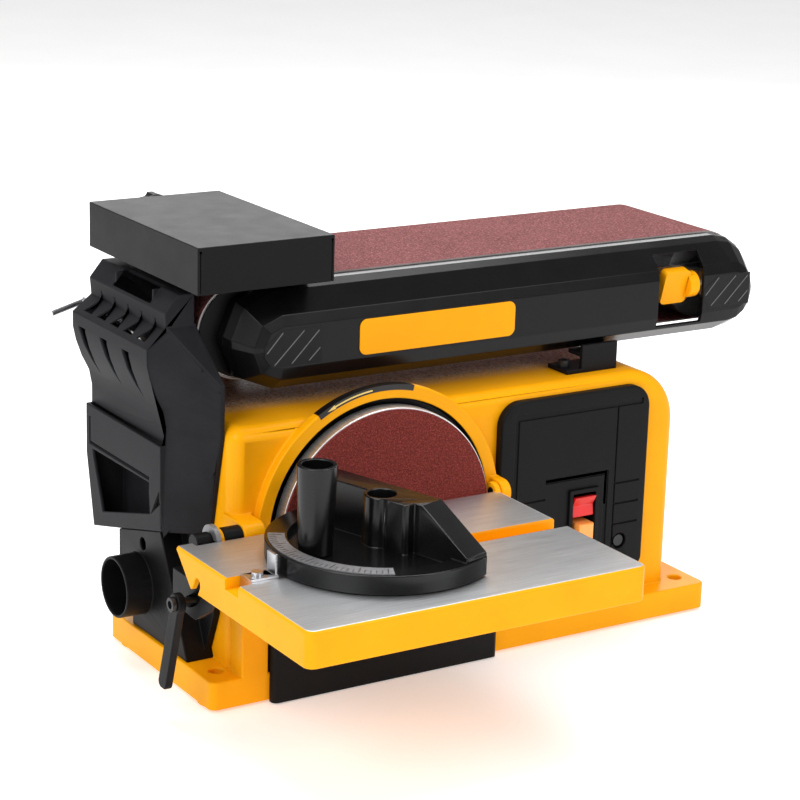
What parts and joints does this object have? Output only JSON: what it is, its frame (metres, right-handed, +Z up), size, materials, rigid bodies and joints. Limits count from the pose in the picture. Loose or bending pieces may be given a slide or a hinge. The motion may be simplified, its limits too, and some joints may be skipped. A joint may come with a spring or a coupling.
{
  "type": "belt and disc sander",
  "caption": "Bench sander: abrasive belt on a tilting arm with a level work rest, side disc with a tilting table and mitre gauge, dust hood and dust port.",
  "frame": {"origin": "centre of the four base bolt holes, on the bench plane", "axes": "+X along the belt arm from the drive drum to the idler, +Y to the back, +Z up"},
  "size_m": [0.4757, 0.3545, 0.287],
  "materials": {
    "yellow_paint": "smooth gloss enamel on cast metal",
    "table_cast": "machined top, yellow enamel on the skirts",
    "black_plastic": "fine moulded grain",
    "black_gloss": "glossy moulded plastic",
    "black_sheet": "powder coated steel sheet",
    "abrasive_belt": "grit on cloth, red-brown",
    "abrasive_paper": "grit on paper, dark red",
    "aluminium": "machined",
    "cast_body": "die cast",
    "steel": "plain steel",
    "motor_iron": "laminated",
    "rubber": "moulded",
    "yellow_plastic": "moulded",
    "red_plastic": "moulded",
    "orange_plastic": "moulded",
    "scale_grey": "printed scale"
  },
  "bodies": {
    "base": {"base_housing": "yellow_paint", "rear_cover": "black_sheet", "cord_gland": "rubber", "housing_screws": "steel", "motor_stator": "motor_iron", "motor_end_plates": "cast_body", "shaft_bearings": "steel", "timing_belt": "rubber", "drive_housing": "cast_body", "drive_cover": "black_plastic", "table_pivot_pins": "black_plastic", "trunnion_bracket": "black_sheet", "lock_bolt": "steel", "disc_guard": "black_sheet", "switch_panel": "black_plastic", "switch_body": "black_plastic", "belt_dust_hood": "black_plastic", "disc_dust_chute": "black_plastic", "arm_rest_bracket": "black_sheet", "bracket_screw": "steel"},
    "rotor": {"motor_shaft": "steel", "motor_rotor": "motor_iron", "cooling_fan": "black_plastic", "motor_pulley": "aluminium", "disc_plate": "aluminium", "abrasive_disc": "abrasive_paper"},
    "drum": {"drive_drum": "aluminium", "drum_shaft": "steel", "driven_pulley": "aluminium"},
    "arm": {"arm_frame": "black_sheet", "guide_rods": "steel", "tension_spring": "steel", "platen": "steel", "sanding_belt": "abrasive_belt", "front_cover": "black_gloss", "trim_strip": "yellow_plastic", "arm_rear_cover": "black_gloss", "cover_screws": "steel", "drum_bush": "steel"},
    "idler_carriage": {"idler_yoke": "steel", "idler_axle": "steel"},
    "idler": {"idler_drum": "aluminium", "idler_bearings": "steel"},
    "tracking": {"tracking_knob": "yellow_plastic", "tracking_screw": "steel"},
    "rest": {"work_rest": "black_sheet", "rest_strap": "black_sheet"},
    "rest_clamp": {"rest_knob": "black_plastic"},
    "table": {"work_table": "table_cast", "bevel_scale": "scale_grey", "table_trunnion": "black_sheet"},
    "lever": {"lock_lever": "black_plastic"},
    "mitre_carriage": {"mitre_bar": "steel", "mitre_pointer": "steel"},
    "mitre_swivel": {"mitre_head": "black_plastic", "mitre_scale": "scale_grey"},
    "mitre_clamp": {"mitre_knob": "black_plastic"},
    "rocker": {"switch_rocker": "red_plastic"},
    "key": {"switch_key": "orange_plastic"},
    "hex": {"hex_key": "steel"}
  },
  "joints": [
    {"name": "motor_spin", "type": "hinge", "parent": "base", "child": "rotor", "pos_m": [-0.068, 0, 0.1024], "axis": [0, 1, 0], "continuous": true},
    {"name": "drum_spin", "type": "hinge", "parent": "base", "child": "drum", "pos_m": [-0.142, 0, 0.223], "axis": [0, 1, 0], "continuous": true},
    {"name": "arm_tilt", "type": "hinge", "parent": "base", "child": "arm", "pos_m": [-0.142, 0, 0.223], "axis": [0, -1, 0], "range_deg": [0, 90]},
    {"name": "tension_slide", "type": "slide", "parent": "arm", "child": "idler_carriage", "axis": [1, 0, 0], "range_m": [-0.008, 0], "stiffness_N_per_m": 4000, "springref_m": 0.006, "deforming": ["tension_spring"]},
    {"name": "idler_spin", "type": "hinge", "parent": "idler_carriage", "child": "idler", "pos_m": [0.21918, 0, 0.223], "axis": [0, 1, 0], "continuous": true},
    {"name": "tracking_turn", "type": "hinge", "parent": "idler_carriage", "child": "tracking", "pos_m": [0.19, -0.031, 0.223], "axis": [1, 0, 0], "range_deg": [-180, 180]},
    {"name": "rest_level", "type": "hinge", "parent": "arm", "child": "rest", "pos_m": [-0.105, 0, 0.262], "axis": [0, -1, 0], "range_deg": [-90, 0]},
    {"name": "rest_clamp_turn", "type": "hinge", "parent": "rest", "child": "rest_clamp", "pos_m": [-0.142, 0.105, 0.278], "axis": [0, 1, 0], "range_deg": [-180, 180]},
    {"name": "table_tilt", "type": "hinge", "parent": "base", "child": "table", "pos_m": [-0.1, -0.07, 0.112], "axis": [1, 0, 0], "range_deg": [0, 45]},
    {"name": "lever_turn", "type": "hinge", "parent": "base", "child": "lever", "pos_m": [-0.22, -0.082, 0.081], "axis": [1, 0, 0], "range_deg": [-60, 30]},
    {"name": "mitre_slide", "type": "slide", "parent": "table", "child": "mitre_carriage", "axis": [1, 0, 0], "range_m": [-0.01, 0.085]},
    {"name": "mitre_turn", "type": "hinge", "parent": "mitre_carriage", "child": "mitre_swivel", "pos_m": [-0.118, -0.143, 0.12], "axis": [0, 0, 1], "range_deg": [-77.5, 42.5]},
    {"name": "mitre_clamp_turn", "type": "hinge", "parent": "mitre_swivel", "child": "mitre_clamp", "pos_m": [-0.16101, -0.14094, 0.15], "axis": [0, 0, 1], "range_deg": [-180, 180]},
    {"name": "switch_rock", "type": "hinge", "parent": "base", "child": "rocker", "pos_m": [0.0895, -0.059, 0.089], "axis": [1, 0, 0], "range_deg": [-8, 8]},
    {"name": "key_pull", "type": "slide", "parent": "base", "child": "key", "axis": [0, -1, 0], "range_m": [0, 0.022]},
    {"name": "hex_key_pull", "type": "slide", "parent": "base", "child": "hex", "axis": [0, 1, 0], "range_m": [0, 0.075]}
  ],
  "couplings": [
    {"joint": "drum_spin", "follows": "motor_spin", "ratio": 1},
    {"joint": "idler_spin", "follows": "motor_spin", "ratio": 1},
    {"joint": "rest_level", "follows": "arm_tilt", "ratio": -1}
  ]
}
